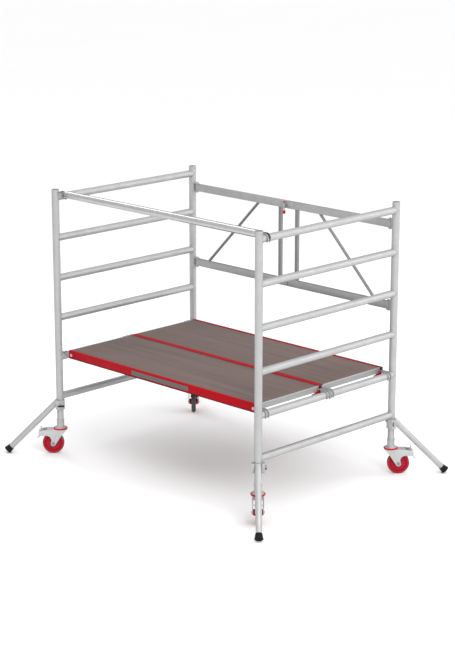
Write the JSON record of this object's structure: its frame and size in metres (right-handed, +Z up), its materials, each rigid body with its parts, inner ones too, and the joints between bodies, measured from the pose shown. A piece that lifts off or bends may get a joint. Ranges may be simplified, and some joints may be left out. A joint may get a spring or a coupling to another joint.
{
  "type": "frame scaffold section",
  "caption": "Folding aluminium scaffold section: two ladder frames joined by a folding rear brace, with hook-on decks, a guard rail, castor legs and swing-out stabilisers.",
  "frame": {"origin": "on the floor under the middle of the section", "axes": "+X along the decks from the left frame to the right one, +Y from the guard rail side to the folding brace, +Z up"},
  "size_m": [2.483, 1.863, 1.867],
  "materials": {
    "bare_aluminium": "bare extruded, satin",
    "cast_aluminium": "cast, matt",
    "zinc_plated_steel": "zinc plated",
    "red_enamel": "powder coated, semi gloss",
    "red_plastic": "moulded",
    "deck_board": "film faced plywood, non-slip",
    "grey_tyre": "matt",
    "black_rubber": "matt",
    "black_plastic": "moulded, matt"
  },
  "bodies": {
    "left_frame": {"left_front_post": "bare_aluminium", "left_rear_post": "bare_aluminium", "left_rungs": "bare_aluminium", "left_fittings": "cast_aluminium"},
    "right_frame": {"right_front_post": "bare_aluminium", "right_rear_post": "bare_aluminium", "right_rungs": "bare_aluminium", "right_fittings": "cast_aluminium"},
    "brace_left_half": {"brace_left": "bare_aluminium", "brace_pins": "zinc_plated_steel"},
    "brace_right_half": {"brace_right": "bare_aluminium"},
    "brace_lock": {"lock_pin": "red_enamel"},
    "guard_rail": {"guard_rail": "bare_aluminium", "guard_hooks": "cast_aluminium"},
    "guard_latch_left": {"guard_latch_left": "black_plastic"},
    "guard_latch_right": {"guard_latch_right": "black_plastic"},
    "front_deck": {"front_deck_beams": "red_enamel", "front_deck_ends": "bare_aluminium", "front_deck_board": "deck_board", "front_deck_hooks": "cast_aluminium", "front_deck_bolts": "zinc_plated_steel"},
    "front_deck_windlock": {"front_deck_windlock": "red_enamel"},
    "rear_deck": {"rear_deck_beams": "red_enamel", "rear_deck_ends": "bare_aluminium", "rear_deck_board": "deck_board", "rear_deck_hooks": "cast_aluminium", "rear_deck_bolts": "zinc_plated_steel"},
    "rear_deck_windlock": {"rear_deck_windlock": "red_enamel"},
    "leg_front_left": {"leg_front_left": "bare_aluminium"},
    "castor_front_left": {"fork_front_left": "zinc_plated_steel"},
    "wheel_front_left": {"hub_front_left": "red_plastic", "tyre_front_left": "grey_tyre"},
    "pedal_front_left": {"pedal_front_left": "zinc_plated_steel"},
    "stabiliser_front_left": {"stabiliser_front_left": "bare_aluminium", "foot_front_left": "black_rubber"},
    "clamp_lever_front_left": {"clamp_lever_front_left": "black_plastic"},
    "leg_front_right": {"leg_front_right": "bare_aluminium"},
    "castor_front_right": {"fork_front_right": "zinc_plated_steel"},
    "wheel_front_right": {"hub_front_right": "red_plastic", "tyre_front_right": "grey_tyre"},
    "pedal_front_right": {"pedal_front_right": "zinc_plated_steel"},
    "stabiliser_front_right": {"stabiliser_front_right": "bare_aluminium", "foot_front_right": "black_rubber"},
    "clamp_lever_front_right": {"clamp_lever_front_right": "black_plastic"},
    "leg_rear_left": {"leg_rear_left": "bare_aluminium"},
    "castor_rear_left": {"fork_rear_left": "zinc_plated_steel"},
    "wheel_rear_left": {"hub_rear_left": "red_plastic", "tyre_rear_left": "grey_tyre"},
    "pedal_rear_left": {"pedal_rear_left": "zinc_plated_steel"},
    "stabiliser_rear_left": {"stabiliser_rear_left": "bare_aluminium", "foot_rear_left": "black_rubber"},
    "clamp_lever_rear_left": {"clamp_lever_rear_left": "black_plastic"},
    "leg_rear_right": {"leg_rear_right": "bare_aluminium"},
    "castor_rear_right": {"fork_rear_right": "zinc_plated_steel"},
    "wheel_rear_right": {"hub_rear_right": "red_plastic", "tyre_rear_right": "grey_tyre"},
    "pedal_rear_right": {"pedal_rear_right": "zinc_plated_steel"},
    "stabiliser_rear_right": {"stabiliser_rear_right": "bare_aluminium", "foot_rear_right": "black_rubber"},
    "clamp_lever_rear_right": {"clamp_lever_rear_right": "black_plastic"}
  },
  "joints": [
    {"name": "fold", "type": "hinge", "parent": "left_frame", "child": "brace_left_half", "pos_m": [-0.907, 0.645, 1.7163], "axis": [0, 0, -1], "range_deg": [0, 85]},
    {"name": "brace_middle", "type": "hinge", "parent": "brace_left_half", "child": "brace_right_half", "pos_m": [0, 0.663, 1.716], "axis": [0, 0, -1], "range_deg": [-170, 0]},
    {"name": "brace_right_end", "type": "hinge", "parent": "brace_right_half", "child": "right_frame", "pos_m": [0.907, 0.645, 1.716], "axis": [0, 0, -1], "range_deg": [0, 85]},
    {"name": "brace_lock", "type": "slide", "parent": "brace_left_half", "child": "brace_lock", "axis": [0, 0, 1], "range_m": [0, 0.01]},
    {"name": "guard_rail_lift", "type": "hinge", "parent": "right_frame", "child": "guard_rail", "pos_m": [0.955, -0.585, 1.813], "axis": [0, 1, 0], "range_deg": [0, 14]},
    {"name": "guard_latch_left", "type": "hinge", "parent": "guard_rail", "child": "guard_latch_left", "pos_m": [-0.923, -0.585, 1.8385], "axis": [0, 1, 0], "range_deg": [0, 22]},
    {"name": "guard_latch_right", "type": "hinge", "parent": "guard_rail", "child": "guard_latch_right", "pos_m": [0.923, -0.585, 1.8385], "axis": [0, 1, 0], "range_deg": [0, 22]},
    {"name": "front_deck_lift", "type": "hinge", "parent": "right_frame", "child": "front_deck", "pos_m": [0.955, -0.3035, 0.693], "axis": [0, 1, 0], "range_deg": [0, 14]},
    {"name": "front_deck_windlock", "type": "hinge", "parent": "front_deck", "child": "front_deck_windlock", "pos_m": [0.915, -0.0394, 0.718], "axis": [0, 1, 0], "range_deg": [0, 40]},
    {"name": "rear_deck_lift", "type": "hinge", "parent": "right_frame", "child": "rear_deck", "pos_m": [0.955, 0.3035, 0.693], "axis": [0, 1, 0], "range_deg": [0, 14]},
    {"name": "rear_deck_windlock", "type": "hinge", "parent": "rear_deck", "child": "rear_deck_windlock", "pos_m": [0.915, 0.5676, 0.718], "axis": [0, 1, 0], "range_deg": [0, 40]},
    {"name": "leg_front_left", "type": "slide", "parent": "left_frame", "child": "leg_front_left", "axis": [0, 0, 1], "range_m": [-0.15, 0]},
    {"name": "swivel_front_left", "type": "hinge", "parent": "leg_front_left", "child": "castor_front_left", "pos_m": [-0.955, -0.645, 0.18], "axis": [0, 0, 1], "continuous": true},
    {"name": "wheel_front_left", "type": "hinge", "parent": "castor_front_left", "child": "wheel_front_left", "pos_m": [-0.99177, -0.68177, 0.075], "axis": [0.7071, -0.7071, 0], "continuous": true},
    {"name": "pedal_front_left", "type": "hinge", "parent": "castor_front_left", "child": "pedal_front_left", "pos_m": [-1.04409, -0.7341, 0.15], "axis": [0.7071, -0.7071, 0], "range_deg": [0, 15]},
    {"name": "stabiliser_front_left", "type": "hinge", "parent": "left_frame", "child": "stabiliser_front_left", "pos_m": [-0.955, -0.645, 0.35], "axis": [0, 0, 1], "range_deg": [-45, 45]},
    {"name": "clamp_lever_front_left", "type": "hinge", "parent": "stabiliser_front_left", "child": "clamp_lever_front_left", "pos_m": [-0.92601, -0.68531, 0.35], "axis": [0, 0, -1], "range_deg": [0, 90]},
    {"name": "leg_front_right", "type": "slide", "parent": "right_frame", "child": "leg_front_right", "axis": [0, 0, 1], "range_m": [-0.15, 0]},
    {"name": "swivel_front_right", "type": "hinge", "parent": "leg_front_right", "child": "castor_front_right", "pos_m": [0.955, -0.645, 0.18], "axis": [0, 0, 1], "continuous": true},
    {"name": "wheel_front_right", "type": "hinge", "parent": "castor_front_right", "child": "wheel_front_right", "pos_m": [0.99177, -0.68177, 0.075], "axis": [0.7071, 0.7071, 0], "continuous": true},
    {"name": "pedal_front_right", "type": "hinge", "parent": "castor_front_right", "child": "pedal_front_right", "pos_m": [1.04409, -0.7341, 0.15], "axis": [0.7071, 0.7071, 0], "range_deg": [0, 15]},
    {"name": "stabiliser_front_right", "type": "hinge", "parent": "right_frame", "child": "stabiliser_front_right", "pos_m": [0.955, -0.645, 0.35], "axis": [0, 0, 1], "range_deg": [-45, 45]},
    {"name": "clamp_lever_front_right", "type": "hinge", "parent": "stabiliser_front_right", "child": "clamp_lever_front_right", "pos_m": [0.9953, -0.61601, 0.35], "axis": [0, 0, -1], "range_deg": [0, 90]},
    {"name": "leg_rear_left", "type": "slide", "parent": "left_frame", "child": "leg_rear_left", "axis": [0, 0, 1], "range_m": [-0.15, 0]},
    {"name": "swivel_rear_left", "type": "hinge", "parent": "leg_rear_left", "child": "castor_rear_left", "pos_m": [-0.955, 0.645, 0.18], "axis": [0, 0, 1], "continuous": true},
    {"name": "wheel_rear_left", "type": "hinge", "parent": "castor_rear_left", "child": "wheel_rear_left", "pos_m": [-0.99177, 0.68177, 0.075], "axis": [-0.7071, -0.7071, 0], "continuous": true},
    {"name": "pedal_rear_left", "type": "hinge", "parent": "castor_rear_left", "child": "pedal_rear_left", "pos_m": [-1.04409, 0.7341, 0.15], "axis": [-0.7071, -0.7071, 0], "range_deg": [0, 15]},
    {"name": "stabiliser_rear_left", "type": "hinge", "parent": "left_frame", "child": "stabiliser_rear_left", "pos_m": [-0.955, 0.645, 0.35], "axis": [0, 0, 1], "range_deg": [-45, 45]},
    {"name": "clamp_lever_rear_left", "type": "hinge", "parent": "stabiliser_rear_left", "child": "clamp_lever_rear_left", "pos_m": [-0.9953, 0.61601, 0.35], "axis": [0, 0, -1], "range_deg": [0, 90]},
    {"name": "leg_rear_right", "type": "slide", "parent": "right_frame", "child": "leg_rear_right", "axis": [0, 0, 1], "range_m": [-0.15, 0]},
    {"name": "swivel_rear_right", "type": "hinge", "parent": "leg_rear_right", "child": "castor_rear_right", "pos_m": [0.955, 0.645, 0.18], "axis": [0, 0, 1], "continuous": true},
    {"name": "wheel_rear_right", "type": "hinge", "parent": "castor_rear_right", "child": "wheel_rear_right", "pos_m": [0.99177, 0.68177, 0.075], "axis": [-0.7071, 0.7071, 0], "continuous": true},
    {"name": "pedal_rear_right", "type": "hinge", "parent": "castor_rear_right", "child": "pedal_rear_right", "pos_m": [1.04409, 0.7341, 0.15], "axis": [-0.7071, 0.7071, 0], "range_deg": [0, 15]},
    {"name": "stabiliser_rear_right", "type": "hinge", "parent": "right_frame", "child": "stabiliser_rear_right", "pos_m": [0.955, 0.645, 0.35], "axis": [0, 0, 1], "range_deg": [-45, 45]},
    {"name": "clamp_lever_rear_right", "type": "hinge", "parent": "stabiliser_rear_right", "child": "clamp_lever_rear_right", "pos_m": [0.92601, 0.68531, 0.35], "axis": [0, 0, -1], "range_deg": [0, 90]}
  ],
  "couplings": [
    {"joint": "brace_middle", "follows": "fold", "ratio": -2},
    {"joint": "brace_right_end", "follows": "fold", "ratio": 1},
    {"joint": "guard_rail_lift", "follows": "fold", "ratio": 0.16},
    {"joint": "front_deck_lift", "follows": "fold", "ratio": 0.16},
    {"joint": "rear_deck_lift", "follows": "fold", "ratio": 0.16}
  ]
}
